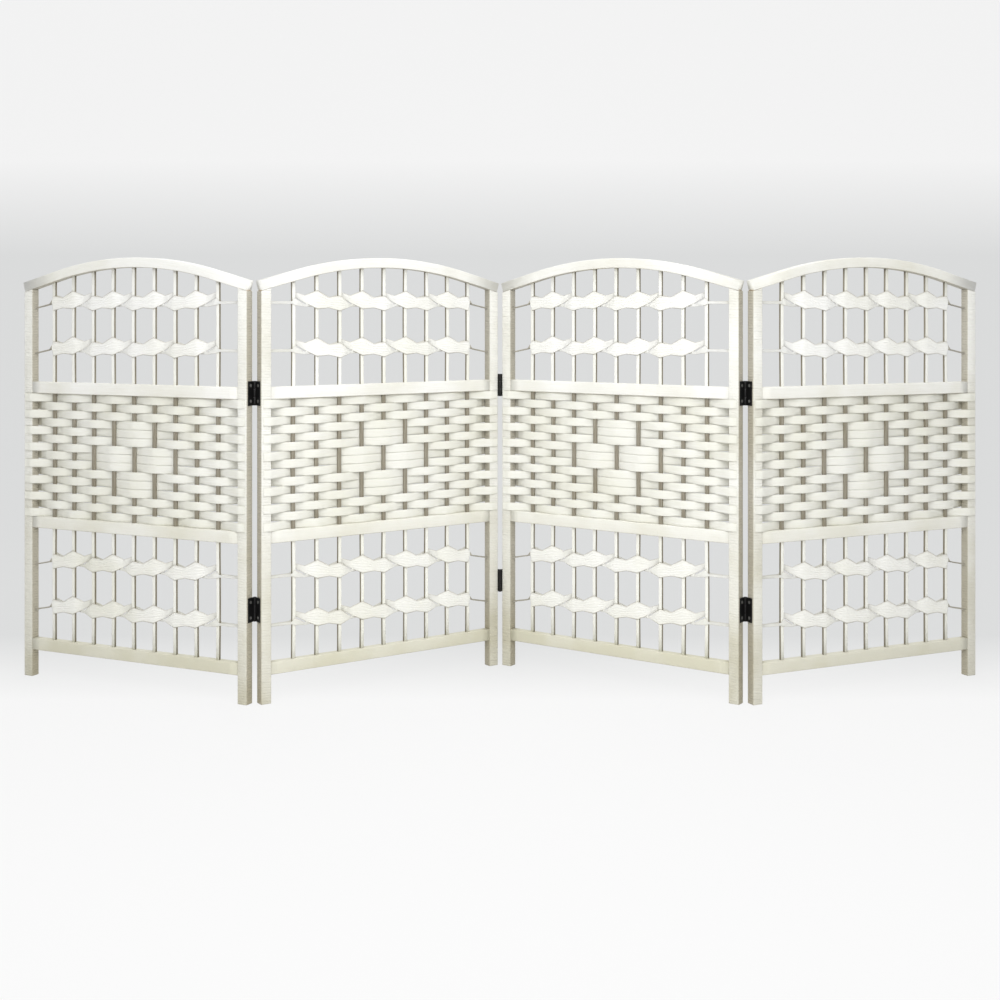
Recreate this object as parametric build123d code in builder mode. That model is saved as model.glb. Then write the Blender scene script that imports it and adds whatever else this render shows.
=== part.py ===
from build123d import *
import math
import os
from dataclasses import dataclass

# Woven folding screen: four panels of wrapped timber, sticks, woven paper strips
# and twined paper ribbons, joined by three pairs of small butt hinges.
# All sizes are millimetres and degrees. In each panel, u runs along its width,
# v towards its back and z up, with u zero at the outer face of its left post.

# Frame of a panel
panel_width = 445.0
post_width = 17.5
post_depth = 16.0
wrap_thickness = 0.8
wrap_corner = 1.0
foot_height = 44.0
rail_height = 19.0
rail_depth = 15.0
rail_chamfer = 0.8
lower_opening = 184.0
upper_opening = 153.5

# Arched top rail, measured on its middle line
arch_rail_height = 16.0
crown_radius = 600.0
shoulder_slope = 15.0
arch_overhang = 1.7

# Joints of the timber
tenon_thickness = 8.0
tenon_height = 10.0
tenon_length = 6.0
post_tenon_width = 8.0
post_tenon_rise = 7.0
joint_fit = 0.1

# Sticks
stick_count = 9
stick_width = 6.0
stick_depth = 5.0

# Woven field between the crossrails
weave_rows = 15
strip_height = 13.2
strip_thickness = 1.0
row_gap = 0.4
strip_end_inset = 3.0
lay_clearance = 0.3
float_rows_apart = 3
float_steps = 2

# Twined ribbons of the open sections, as heights above and below a band's middle
ribbon_thickness = 0.7
band_height = 59.0
band_spacing = 75.0
band_count = 2
front_first_span = (-16.5, 8.5)
front_second_span = (-13.5, 17.0)
back_first_span = (-5.0, 9.5)
back_second_span = (-9.0, 7.0)
leaving_span = (-0.5, 6.5)
entering_span = (-9.5, -4.0)
lone_span = (-7.0, 5.0)
ribbon_end_height = 4.4
ribbon_end_spread = 1.2
low_end_drop = 12.0
high_end_drop = 3.0
ribbon_end_gap = 0.2

# Hinges
fold_gap = 4.0
pin_setback = 2.9
hinge_height = 38.0
leaf_width = 13.0
leaf_thickness = 1.2
knuckle_radius = 2.5
knuckle_gap = 0.3
barrel_sides = 10
pin_radius = 1.25
pin_fit = 0.05
lower_hinge_height = 145.0

# How the panels stand
inner_panel_turn = 35.0
outer_panel_turn = 25.0

# Levels worked out from the sizes
bottom_rail_level = foot_height
lower_crossrail_level = bottom_rail_level + rail_height + lower_opening
weave_level = lower_crossrail_level + rail_height
weave_opening = weave_rows * (strip_height + row_gap) + row_gap
upper_crossrail_level = weave_level + weave_opening
upper_crossrail_top = upper_crossrail_level + rail_height
rail_levels = (bottom_rail_level, lower_crossrail_level, upper_crossrail_level)
hinge_levels = (lower_hinge_height, upper_crossrail_level + rail_height / 2)

# Places along a panel
stick_pitch = (panel_width - 2 * post_width) / (stick_count + 1)
stick_places = [post_width + stick_pitch * (i + 1) for i in range(stick_count)]
middle_stick = (stick_count + 1) / 2
middle_row = (weave_rows + 1) / 2

# Arch, as a crown with a straight shoulder at each side
slope = math.radians(shoulder_slope)
under_radius = crown_radius - arch_rail_height / 2
under_tangent = panel_width / 2 - under_radius * math.sin(slope)
shoulder_climb = math.tan(slope) * (under_tangent - post_width)
crown_level = upper_crossrail_top + upper_opening + shoulder_climb
crown_level -= under_radius * math.cos(slope)

# Hinge axes, from the middle of a post's end face
axis_reach = fold_gap / 2
axis_depth = post_depth / 2 + pin_setback


def arch_underside(place):
    """Height of the arch rail's underside at a place along the panel."""
    across = abs(place - panel_width / 2)
    if across <= under_radius * math.sin(slope):
        return crown_level + math.sqrt(under_radius**2 - across**2)
    past_crown = across - under_radius * math.sin(slope)
    return crown_level + under_radius * math.cos(slope) - past_crown * math.tan(slope)


@dataclass
class Panel:
    """One panel: its number, its frame on the floor and its hinged sides."""

    number: int
    frame: Plane
    mirrored: bool
    hinges: tuple

    def name(self, piece):
        return f"panel_{self.number}_{piece}"

    def level(self, height):
        """A level plane through the panel."""
        return self.frame.offset(height)

    def front(self):
        """An upright plane through the panel's middle depth, seen from its front."""
        frame = self.frame
        return Plane(origin=frame.origin, x_dir=frame.x_dir, z_dir=-frame.y_dir)


@dataclass
class HingeSide:
    """The end of a panel that carries hinge leaves."""

    outward: int
    backward: int
    outer_knuckles: bool

    def face(self):
        return panel_width if self.outward > 0 else 0.0

    def axis(self):
        return (self.face() + self.outward * axis_reach, self.backward * axis_depth)


def turned_frame(turn, local_point, world_point):
    """The frame of a panel turned on the floor so that a point of it lands on another."""
    heading = math.radians(turn)
    along = Vector(math.cos(heading), math.sin(heading))
    back = Vector(-math.sin(heading), math.cos(heading))
    origin = world_point - along * local_point[0] - back * local_point[1]
    return Plane(origin=origin, x_dir=along, z_dir=(0, 0, 1))


# The middle fold stands at the back with its axis in front of the posts.
# The other two stand nearer, with their axes behind the posts.
right_back = HingeSide(outward=1, backward=1, outer_knuckles=True)
left_back = HingeSide(outward=-1, backward=1, outer_knuckles=False)
right_front = HingeSide(outward=1, backward=-1, outer_knuckles=True)
left_front = HingeSide(outward=-1, backward=-1, outer_knuckles=False)

fold_2_axis = Vector(0, 0)
frame_2 = turned_frame(inner_panel_turn, right_front.axis(), fold_2_axis)
frame_3 = turned_frame(-inner_panel_turn, left_front.axis(), fold_2_axis)
fold_1_axis = frame_2.from_local_coords(Vector(*left_back.axis()))
fold_3_axis = frame_3.from_local_coords(Vector(*right_back.axis()))
frame_1 = turned_frame(-outer_panel_turn, right_back.axis(), fold_1_axis)
frame_4 = turned_frame(outer_panel_turn, left_back.axis(), fold_3_axis)

panels = [
    Panel(1, frame_1, False, (right_back,)),
    Panel(2, frame_2, True, (left_back, right_front)),
    Panel(3, frame_3, False, (left_front, right_back)),
    Panel(4, frame_4, True, (left_back,)),
]


def post_core(panel, outward):
    """Timber core of a post, mortised for the rails and tenoned into the arch."""
    outer = panel_width if outward > 0 else 0.0
    middle = outer - outward * post_width / 2
    reach = post_width / 2 - wrap_thickness
    inner_face = middle - outward * reach
    left, right = middle - reach, middle + reach
    tenon_base = arch_underside(middle) - post_tenon_rise
    with BuildPart() as core:
        with BuildSketch(panel.front()):
            with BuildLine():
                Polyline(
                    (left, 0),
                    (right, 0),
                    (right, arch_underside(right)),
                    (left, arch_underside(left)),
                    close=True,
                )
            make_face()
        extrude(amount=post_depth / 2 - wrap_thickness, both=True)
        with BuildSketch(panel.level(tenon_base)):
            with Locations((middle, 0)):
                Rectangle(post_tenon_width, tenon_thickness)
        extrude(amount=2 * post_tenon_rise)
        mortise_depth = tenon_length + joint_fit
        with BuildSketch(panel.front()):
            place = inner_face + outward * mortise_depth / 2
            with Locations(*[(place, level + rail_height / 2) for level in rail_levels]):
                Rectangle(mortise_depth, tenon_height + 2 * joint_fit)
        extrude(amount=tenon_thickness / 2 + joint_fit, both=True, mode=Mode.SUBTRACT)
    return core.part


def post_wrap(panel, outward):
    """Wound paper sleeve of a post, open where the rails' tenons pass."""
    outer = panel_width if outward > 0 else 0.0
    middle = outer - outward * post_width / 2
    reach = post_width / 2
    left, right = middle - reach, middle + reach
    inner_face = middle - outward * reach
    with BuildPart() as wrap:
        with BuildSketch(panel.front()):
            with BuildLine():
                Polyline(
                    (left, 0),
                    (right, 0),
                    (right, arch_underside(right)),
                    (left, arch_underside(left)),
                    close=True,
                )
            make_face()
        extrude(amount=post_depth / 2, both=True)
        chamfer(wrap.edges().filter_by(Axis.Z), wrap_corner)
        with BuildSketch(panel.level(0)):
            with Locations((middle, 0)):
                Rectangle(post_width - 2 * wrap_thickness, post_depth - 2 * wrap_thickness)
        extrude(amount=crown_level + crown_radius, mode=Mode.SUBTRACT)
        with BuildSketch(panel.front()):
            place = inner_face + outward * wrap_thickness / 2
            with Locations(*[(place, level + rail_height / 2) for level in rail_levels]):
                Rectangle(wrap_thickness, tenon_height + 2 * joint_fit)
        extrude(amount=tenon_thickness / 2 + joint_fit, both=True, mode=Mode.SUBTRACT)
    return wrap.part


def straight_rail(panel, level, mortised):
    """A straight rail with stub tenons, mortised right through where sticks pass it."""
    length = panel_width - 2 * post_width
    centre = (panel_width / 2, level + rail_height / 2)
    along = Axis(panel.frame.origin, panel.frame.x_dir)
    with BuildPart() as rail:
        with BuildSketch(panel.front()):
            with Locations(centre):
                Rectangle(length, rail_height)
        extrude(amount=rail_depth / 2, both=True)
        chamfer(rail.edges().filter_by(along), rail_chamfer)
        with BuildSketch(panel.front()):
            with Locations(centre):
                Rectangle(length + 2 * (tenon_length + wrap_thickness), tenon_height)
        extrude(amount=tenon_thickness / 2, both=True)
        if mortised:
            with BuildSketch(panel.level(level)):
                with Locations(*[(place, 0) for place in stick_places]):
                    Rectangle(stick_width + 2 * joint_fit, stick_depth + 2 * joint_fit)
            extrude(amount=rail_height, mode=Mode.SUBTRACT)
    return rail.part


def arch_edge_points(edge):
    """Start, tangent, crown, tangent and end of the arch at a height off its middle line."""
    radius = crown_radius + edge
    half = panel_width / 2
    outer_radius = crown_radius + arch_rail_height / 2
    shoulder = (half + arch_overhang - outer_radius * math.sin(slope)) / math.cos(slope)
    tangent_across = radius * math.sin(slope)
    tangent_level = crown_level + radius * math.cos(slope)
    end_across = tangent_across + shoulder * math.cos(slope)
    end_level = tangent_level - shoulder * math.sin(slope)
    return [
        (half - end_across, end_level),
        (half - tangent_across, tangent_level),
        (half, crown_level + radius),
        (half + tangent_across, tangent_level),
        (half + end_across, end_level),
    ]


def arch_rail(panel):
    """Arched top rail with square-cut ends that stand proud of the posts."""
    upper = arch_edge_points(arch_rail_height / 2)
    lower = arch_edge_points(-arch_rail_height / 2)
    with BuildPart() as rail:
        with BuildSketch(panel.front()):
            with BuildLine():
                for edge in (upper, lower):
                    Line(edge[0], edge[1])
                    ThreePointArc(edge[1], edge[2], edge[3])
                    Line(edge[3], edge[4])
                Line(upper[0], lower[0])
                Line(upper[4], lower[4])
            make_face()
        extrude(amount=post_depth / 2, both=True)
        post_middle = post_width / 2
        mortise_top = arch_underside(post_middle) + post_tenon_rise + joint_fit
        with BuildSketch(panel.level(mortise_top)):
            with Locations((post_middle, 0), (panel_width - post_middle, 0)):
                Rectangle(post_tenon_width + 2 * joint_fit, tenon_thickness + 2 * joint_fit)
        extrude(amount=-2 * post_tenon_rise, mode=Mode.SUBTRACT)
    return rail.part


def sticks(panel):
    """Sticks from the bottom rail through both crossrails, cut to fit under the arch."""
    base = bottom_rail_level + rail_height
    with BuildPart() as group:
        with BuildSketch(panel.front()):
            for place in stick_places:
                left, right = place - stick_width / 2, place + stick_width / 2
                with BuildLine():
                    Polyline(
                        (left, base),
                        (right, base),
                        (right, arch_underside(right)),
                        (left, arch_underside(left)),
                        close=True,
                    )
                make_face()
        extrude(amount=stick_depth / 2, both=True)
    return group.part


def passes_behind(row, stick):
    """Whether a strip passes behind a stick. Stick zero and the last are the posts."""
    plain = (row + stick) % 2 == 0
    step, between = divmod(abs(row - middle_row), float_rows_apart)
    floating = between == 0 and step < float_steps
    return plain != (floating and abs(stick - middle_stick) <= float_steps - step)


def corner_lift(gap):
    """Share of a crossing's depth that a band loses over half a stick's width."""
    return stick_width / 2 / gap


def stick_reach(thickness):
    """Depth of a band's middle where it passes a stick between two other sticks."""
    least = stick_depth / 2 + lay_clearance + thickness / 2
    return least / (1 - 2 * corner_lift(stick_pitch))


post_reach = post_depth / 2 + lay_clearance + strip_thickness / 2
end_stick_least = stick_depth / 2 + lay_clearance + strip_thickness / 2
end_lift = corner_lift(stick_pitch)
end_stick_reach = (end_stick_least + end_lift * post_reach) / (1 - end_lift)


def strip_route(row):
    """The middle line of a strip in plan, from post to post."""
    route = []
    for stick in range(stick_count + 2):
        side = 1 if passes_behind(row, stick) else -1
        if stick == 0:
            route += [(strip_end_inset, side * post_reach)]
            route += [(post_width + lay_clearance, side * post_reach)]
        elif stick == stick_count + 1:
            inner = panel_width - post_width - lay_clearance
            route += [(inner, side * post_reach)]
            route += [(panel_width - strip_end_inset, side * post_reach)]
        else:
            next_to_post = stick in (1, stick_count)
            reach = end_stick_reach if next_to_post else stick_reach(strip_thickness)
            route += [(stick_places[stick - 1], side * reach)]
    return route


def band_outline(route, thickness):
    """A closed outline in plan around a route, with a thickness across the panel."""
    front = [(place, depth - thickness / 2) for place, depth in route]
    back = [(place, depth + thickness / 2) for place, depth in reversed(route)]
    return front + back


def woven_strips(panel):
    """Flat strips woven over and under the sticks, with the diamond of long floats."""
    with BuildPart() as weave:
        strips = []
        for row in range(1, weave_rows + 1):
            rows_below = weave_rows - row
            level = weave_level + row_gap + rows_below * (strip_height + row_gap)
            with BuildSketch(panel.level(level)):
                with BuildLine():
                    Polyline(*band_outline(strip_route(row), strip_thickness), close=True)
                make_face()
            strips.append(extrude(amount=strip_height, mode=Mode.PRIVATE))
        add(strips)
    return weave.part


def ribbon_route(partner):
    """The middle line in plan of one of the two ribbons twined along a band."""
    reach = stick_reach(ribbon_thickness)
    first = post_width + ribbon_end_gap
    last = panel_width - post_width - ribbon_end_gap
    side = -1 if partner == 0 else 1
    route = [(first, side * ribbon_end_spread)]
    for stick, place in enumerate(stick_places):
        in_front = (stick // 2 + partner) % 2 == 0
        route.append((place, -reach if in_front else reach))
    last_side = 1 if route[-1][1] > 0 else -1
    route.append((last, last_side * ribbon_end_spread))
    return route


def ribbon_spans(partner):
    """The places of a ribbon along its band, each with its lowest and highest point."""
    half_end = ribbon_end_height / 2
    first = post_width + ribbon_end_gap
    last = panel_width - post_width - ribbon_end_gap
    spans = [(first, -low_end_drop - half_end, -low_end_drop + half_end)]
    for stick, place in enumerate(stick_places):
        second = stick % 2 == 1
        in_front = (stick // 2 + partner) % 2 == 0
        alone = stick == stick_count - 1 and not second
        if not second and stick > 0:
            crossing = entering_span if in_front else leaving_span
            spans.append((place - stick_pitch / 2, *crossing))
        if alone:
            spans.append((place, *lone_span))
        elif in_front:
            spans.append((place, *(front_second_span if second else front_first_span)))
        else:
            spans.append((place, *(back_second_span if second else back_first_span)))
    spans.append((last, -high_end_drop - half_end, -high_end_drop + half_end))
    return spans


def ribbon(panel, level, partner):
    """One ribbon: a bent band cut to its outline, wide over each pair of sticks."""

    def placed(place):
        return panel_width - place if panel.mirrored else place

    route = [(placed(place), depth) for place, depth in ribbon_route(partner)]
    spans = ribbon_spans(partner)
    upper = [(placed(place), level + high) for place, low, high in spans]
    lower = [(placed(place), level + low) for place, low, high in reversed(spans)]
    lowest = min(low for place, low, high in spans)
    highest = max(high for place, low, high in spans)
    with BuildPart() as band:
        with BuildSketch(panel.level(level + lowest)):
            with BuildLine():
                Polyline(*band_outline(route, ribbon_thickness), close=True)
            make_face()
        extrude(amount=highest - lowest)
        with BuildSketch(panel.front()):
            with BuildLine():
                Polyline(*upper, *lower, close=True)
            make_face()
        extrude(amount=post_depth / 2, both=True, mode=Mode.INTERSECT)
    return band.part


def ribbons(panel, rail_top):
    """The twined ribbons of one open section, two to each band."""
    levels = [rail_top + band_height + band * band_spacing for band in range(band_count)]
    with BuildPart() as group:
        add([ribbon(panel, level, partner) for level in levels for partner in range(2)])
    return group.part


def hinge_leaves(panel):
    """The hinge leaves on a panel's post ends, with their knuckles."""
    knuckle_height = (hinge_height - 2 * knuckle_gap) / 3
    knuckle_step = knuckle_height + knuckle_gap
    with BuildPart() as leaves:
        for side in panel.hinges:
            face = side.face()
            plate_place = face + side.outward * leaf_thickness / 2
            plate_depth = side.backward * (post_depth - leaf_width) / 2
            strap_depth = side.backward * (post_depth + pin_setback) / 2
            for centre in hinge_levels:
                base = centre - hinge_height / 2
                with BuildSketch(panel.level(base)):
                    with Locations((plate_place, plate_depth)):
                        Rectangle(leaf_thickness, leaf_width)
                extrude(amount=hinge_height)
                for step in (0, 2) if side.outer_knuckles else (1,):
                    with BuildSketch(panel.level(base + step * knuckle_step)):
                        with Locations((plate_place, strap_depth)):
                            Rectangle(leaf_thickness, pin_setback)
                        with Locations(side.axis()):
                            RegularPolygon(knuckle_radius, barrel_sides)
                    extrude(amount=knuckle_height)
                with BuildSketch(panel.level(base)):
                    with Locations(side.axis()):
                        RegularPolygon(pin_radius + pin_fit, barrel_sides, major_radius=False)
                extrude(amount=hinge_height, mode=Mode.SUBTRACT)
    return leaves.part


def hinge_pins(axis):
    """The two hinge pins of one fold."""
    with BuildPart() as pins:
        for centre in hinge_levels:
            with BuildSketch(Plane.XY.offset(centre - hinge_height / 2)):
                with Locations((axis.X, axis.Y)):
                    RegularPolygon(pin_radius, barrel_sides)
            extrude(amount=hinge_height)
    return pins.part


pieces = {}
for panel in panels:
    pieces[panel.name("left_post_core")] = post_core(panel, -1)
    pieces[panel.name("right_post_core")] = post_core(panel, 1)
    pieces[panel.name("left_post_wrap")] = post_wrap(panel, -1)
    pieces[panel.name("right_post_wrap")] = post_wrap(panel, 1)
    pieces[panel.name("bottom_rail")] = straight_rail(panel, bottom_rail_level, False)
    pieces[panel.name("lower_crossrail")] = straight_rail(panel, lower_crossrail_level, True)
    pieces[panel.name("upper_crossrail")] = straight_rail(panel, upper_crossrail_level, True)
    pieces[panel.name("arch_rail")] = arch_rail(panel)
    pieces[panel.name("sticks")] = sticks(panel)
    pieces[panel.name("woven_strips")] = woven_strips(panel)
    pieces[panel.name("lower_ribbons")] = ribbons(panel, bottom_rail_level + rail_height)
    pieces[panel.name("upper_ribbons")] = ribbons(panel, upper_crossrail_top)
    pieces[panel.name("hinge_leaves")] = hinge_leaves(panel)

fold_axes = {"fold_1": fold_1_axis, "fold_2": fold_2_axis, "fold_3": fold_3_axis}
for fold, axis in fold_axes.items():
    pieces[f"{fold}_pins"] = hinge_pins(axis)

# The origin is the middle of the floor that the whole screen covers
boxes = [piece.bounding_box() for piece in pieces.values()]
front = min(box.min.Y for box in boxes)
back = max(box.max.Y for box in boxes)
middle = Vector(0, (front + back) / 2)

os.makedirs("parts", exist_ok=True)
for name, piece in pieces.items():
    piece.label = name
    piece.locate(Location(-middle))
    export_step(piece, f"parts/{name}.step")

for fold, axis in fold_axes.items():
    print(fold, "axis at", round(axis.X - middle.X, 4), round(axis.Y - middle.Y, 4))
print("depth of the whole screen", round(back - front, 3))
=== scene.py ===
"""Woven folding screen: four hinged panels of wound posts, rails, sticks, woven paper and ribbons.

Every size is in metres. In each panel, u runs along its width, v towards its back and z up.
"""

import logging
import math
import random
from collections.abc import Callable
from dataclasses import dataclass, field
from enum import Enum

import bmesh
import bpy
from mathutils import Matrix, Vector

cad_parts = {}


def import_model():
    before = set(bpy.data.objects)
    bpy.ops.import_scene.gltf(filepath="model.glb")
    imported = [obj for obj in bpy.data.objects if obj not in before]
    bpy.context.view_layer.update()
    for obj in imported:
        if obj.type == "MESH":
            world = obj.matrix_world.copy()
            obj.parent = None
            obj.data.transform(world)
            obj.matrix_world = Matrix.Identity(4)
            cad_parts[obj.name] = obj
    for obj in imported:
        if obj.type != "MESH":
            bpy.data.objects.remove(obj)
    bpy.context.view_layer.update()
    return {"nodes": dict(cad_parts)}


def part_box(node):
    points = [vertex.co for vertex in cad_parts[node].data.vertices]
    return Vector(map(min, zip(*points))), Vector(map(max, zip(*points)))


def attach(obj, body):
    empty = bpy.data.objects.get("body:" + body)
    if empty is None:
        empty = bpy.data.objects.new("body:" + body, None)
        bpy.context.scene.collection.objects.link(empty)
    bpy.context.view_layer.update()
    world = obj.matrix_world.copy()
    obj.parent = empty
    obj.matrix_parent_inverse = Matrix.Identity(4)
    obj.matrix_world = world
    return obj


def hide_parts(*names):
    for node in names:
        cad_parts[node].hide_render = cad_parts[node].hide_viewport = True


LOG = logging.getLogger("folding_screen")


class Slot(Enum):
    """Names of the record's material slots, passed with each piece."""

    TIMBER = "timber"
    WOUND_PAPER = "wound_paper"
    FACED_TIMBER = "faced_timber"
    STICK_TIMBER = "stick_timber"
    WOVEN_PAPER = "woven_paper"
    RIBBON_PAPER = "ribbon_paper"
    BLACK_STEEL = "black_steel"


class Section(Enum):
    """The two open sections of a panel that carry twined ribbons."""

    LOWER = "lower_ribbons"
    UPPER = "upper_ribbons"


@dataclass(frozen=True)
class ScreenSizes:
    """Driving sizes of the screen, the same real sizes as the frame's solids have."""

    panel_width: float = 0.445
    post_width: float = 0.0175
    post_depth: float = 0.016
    foot_height: float = 0.044
    rail_height: float = 0.019
    rail_depth: float = 0.015
    lower_opening: float = 0.184
    upper_opening: float = 0.1535
    arch_height: float = 0.016
    crown_radius: float = 0.6
    shoulder_slope: float = math.radians(15)
    arch_overhang: float = 0.0017
    stick_count: int = 9
    stick_width: float = 0.006
    stick_depth: float = 0.005
    weave_rows: int = 15
    strip_height: float = 0.0132
    strip_thickness: float = 0.001
    row_gap: float = 0.0004
    strip_end_inset: float = 0.003
    lay_clearance: float = 0.0003
    ribbon_thickness: float = 0.0007
    band_height: float = 0.059
    band_spacing: float = 0.075
    band_count: int = 2
    fold_gap: float = 0.004
    pin_setback: float = 0.0029
    hinge_height: float = 0.038
    leaf_width: float = 0.013
    leaf_thickness: float = 0.0012
    knuckle_radius: float = 0.0025
    knuckle_gap: float = 0.0003
    lower_hinge_height: float = 0.145

    @property
    def stick_pitch(self) -> float:
        """Distance between two sticks."""
        return (self.panel_width - 2 * self.post_width) / (self.stick_count + 1)

    @property
    def stick_places(self) -> list[float]:
        """Places of the sticks along a panel."""
        return [self.post_width + self.stick_pitch * (i + 1) for i in range(self.stick_count)]

    @property
    def lower_crossrail_level(self) -> float:
        """Underside of the lower crossrail."""
        return self.foot_height + self.rail_height + self.lower_opening

    @property
    def weave_level(self) -> float:
        """Underside of the woven field."""
        return self.lower_crossrail_level + self.rail_height

    @property
    def upper_crossrail_level(self) -> float:
        """Underside of the upper crossrail."""
        rows = self.weave_rows * (self.strip_height + self.row_gap)
        return self.weave_level + rows + self.row_gap

    @property
    def upper_crossrail_top(self) -> float:
        """Top of the upper crossrail."""
        return self.upper_crossrail_level + self.rail_height

    @property
    def under_radius(self) -> float:
        """Radius of the arch's underside."""
        return self.crown_radius - self.arch_height / 2

    @property
    def crown_level(self) -> float:
        """Level of the middle of the arch's curve.

        Returns:
            Its height above the floor.
        """
        tangent = self.panel_width / 2 - self.under_radius * math.sin(self.shoulder_slope)
        climb = math.tan(self.shoulder_slope) * (tangent - self.post_width)
        level = self.upper_crossrail_top + self.upper_opening + climb
        return level - self.under_radius * math.cos(self.shoulder_slope)

    @property
    def hinge_levels(self) -> tuple[float, float]:
        """Middle heights of the two hinges of a fold."""
        return (self.lower_hinge_height, self.upper_crossrail_level + self.rail_height / 2)

    def arch_underside(self, place: float) -> float:
        """Height of the arch's underside.

        Args:
            place: distance along the panel.

        Returns:
            The height above the floor.
        """
        across = abs(place - self.panel_width / 2)
        tangent = self.under_radius * math.sin(self.shoulder_slope)
        if across <= tangent:
            return self.crown_level + math.sqrt(self.under_radius**2 - across**2)
        drop = (across - tangent) * math.tan(self.shoulder_slope)
        return self.crown_level + self.under_radius * math.cos(self.shoulder_slope) - drop


SIZES = ScreenSizes()


@dataclass(frozen=True)
class PanelFrame:
    """Where a panel stands: a matrix from its own u, v and z to the row frame."""

    number: int
    mirrored: bool
    matrix: Matrix

    @property
    def body(self) -> str:
        """Name of the body that the panel's pieces ride on."""
        return f"panel_{self.number}"

    @classmethod
    def from_posts(cls, number: int) -> "PanelFrame":
        """Reads a panel's stand from its two post cores.

        Args:
            number: the panel's number, from one at the left.

        Returns:
            The panel's frame.
        """
        ends = []
        for side in ("left", "right"):
            low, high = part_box(f"panel_{number}_{side}_post_core")
            ends.append((Vector(low) + Vector(high)) / 2)
        along = Vector((ends[1].x - ends[0].x, ends[1].y - ends[0].y, 0)).normalized()
        back = Vector((-along.y, along.x, 0))
        origin = Vector((ends[0].x, ends[0].y, 0)) - along * SIZES.post_width / 2
        rows = Matrix((along, back, Vector((0, 0, 1)))).transposed().to_4x4()
        return cls(number, number % 2 == 0, Matrix.Translation(origin) @ rows)


# Node trees, with short ways to build them

Socket = bpy.types.NodeSocket
Value = Socket | float | tuple[float, ...] | str | bpy.types.Material
Colour = tuple[float, float, float]


@dataclass
class Nodes:
    """A node tree, with short ways to add and join nodes."""

    tree: bpy.types.NodeTree

    def fill(self, node: bpy.types.Node, inputs: dict[str | int, Value]) -> None:
        """Sets a node's inputs.

        Args:
            node: the node.
            inputs: values, or sockets to link, by the input's name or number.
        """
        for name, value in inputs.items():
            if isinstance(value, Socket):
                self.tree.links.new(value, node.inputs[name])
            else:
                node.inputs[name].default_value = value

    def node(
        self, kind: str, inputs: dict[str | int, Value] | None = None, **settings: object
    ) -> bpy.types.Node:
        """Adds a node.

        Args:
            kind: the node's type.
            inputs: values or sockets for its inputs, by name or number.
            **settings: the node's own settings.

        Returns:
            The new node.
        """
        node = self.tree.nodes.new(kind)
        for name, value in settings.items():
            setattr(node, name, value)
        self.fill(node, inputs or {})
        return node

    def first(
        self, kind: str, inputs: dict[str | int, Value] | None = None, **settings: object
    ) -> Socket:
        """Adds a node, as node does, and returns its first output."""
        return self.node(kind, inputs, **settings).outputs[0]

    def math(self, operation: str, one: Value, other: Value = 0.0) -> Socket:
        """Adds a math node and returns its value."""
        return self.first("ShaderNodeMath", {0: one, 1: other}, operation=operation)

    def times(self, one: Value, other: Value) -> Socket:
        """Multiplies two values."""
        return self.math("MULTIPLY", one, other)

    def plus(self, one: Value, other: Value) -> Socket:
        """Adds two values."""
        return self.math("ADD", one, other)

    def vector(self, x: Value = 0.0, y: Value = 0.0, z: Value = 0.0) -> Socket:
        """Makes a vector of three values."""
        return self.first("ShaderNodeCombineXYZ", {0: x, 1: y, 2: z})

    def parts(self, vector: Socket) -> bpy.types.bpy_prop_collection:
        """The three values of a vector."""
        return self.node("ShaderNodeSeparateXYZ", {0: vector}).outputs

    def noise(self, place: Socket, scale: Value, detail: float) -> Socket:
        """Noise between 0 and 1 at a place."""
        inputs = {"Vector": place, "Scale": scale, "Detail": detail}
        return self.first("ShaderNodeTexNoise", inputs)

    def mix(self, amount: Value, one: Value, other: Value) -> Socket:
        """Mixes two colours, from the one at 0 to the other at 1."""
        inputs = {0: amount, 6: one, 7: other}
        return self.node("ShaderNodeMix", inputs, data_type="RGBA").outputs[2]

    def ramp(self, value: Socket, low: float, high: float) -> Socket:
        """Stretches a value so that low becomes 0 and high becomes 1."""
        return self.first("ShaderNodeMapRange", {0: value, 1: low, 2: high, 3: 0.0, 4: 1.0})

    def kept(self, name: str) -> Socket:
        """A value that the piece's mesh keeps on its faces or points."""
        return self.node("ShaderNodeAttribute", attribute_name=name).outputs["Fac"]

    def bump(self, height: Socket, strength: float, depth: float) -> Socket:
        """Relief from a height."""
        inputs = {"Height": height, "Strength": strength, "Distance": depth}
        return self.first("ShaderNodeBump", inputs)


def placed(name: str, data: bpy.types.ID) -> bpy.types.Object:
    """Sets a new object into the scene.

    Args:
        name: the object's name.
        data: its mesh, lamp or camera.

    Returns:
        The object, at the origin.
    """
    item = bpy.data.objects.new(name, data)
    bpy.context.collection.objects.link(item)
    return item


def add_inputs(tree: bpy.types.NodeTree, inputs: dict[str, object]) -> None:
    """Gives a tree its named inputs, each of the type of its default value.

    Args:
        tree: the tree.
        inputs: default values by name, with None for a material.
    """
    kinds = {int: "Int", float: "Float", type(None): "Material"}
    for label, value in inputs.items():
        if isinstance(value, tuple):
            kind = "Color" if len(value) == 4 else "Vector"
        else:
            kind = kinds[type(value)]
        socket = tree.interface.new_socket(
            label, in_out="INPUT", socket_type=f"NodeSocket{kind}"
        )
        if value is not None:
            socket.default_value = value


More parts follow.
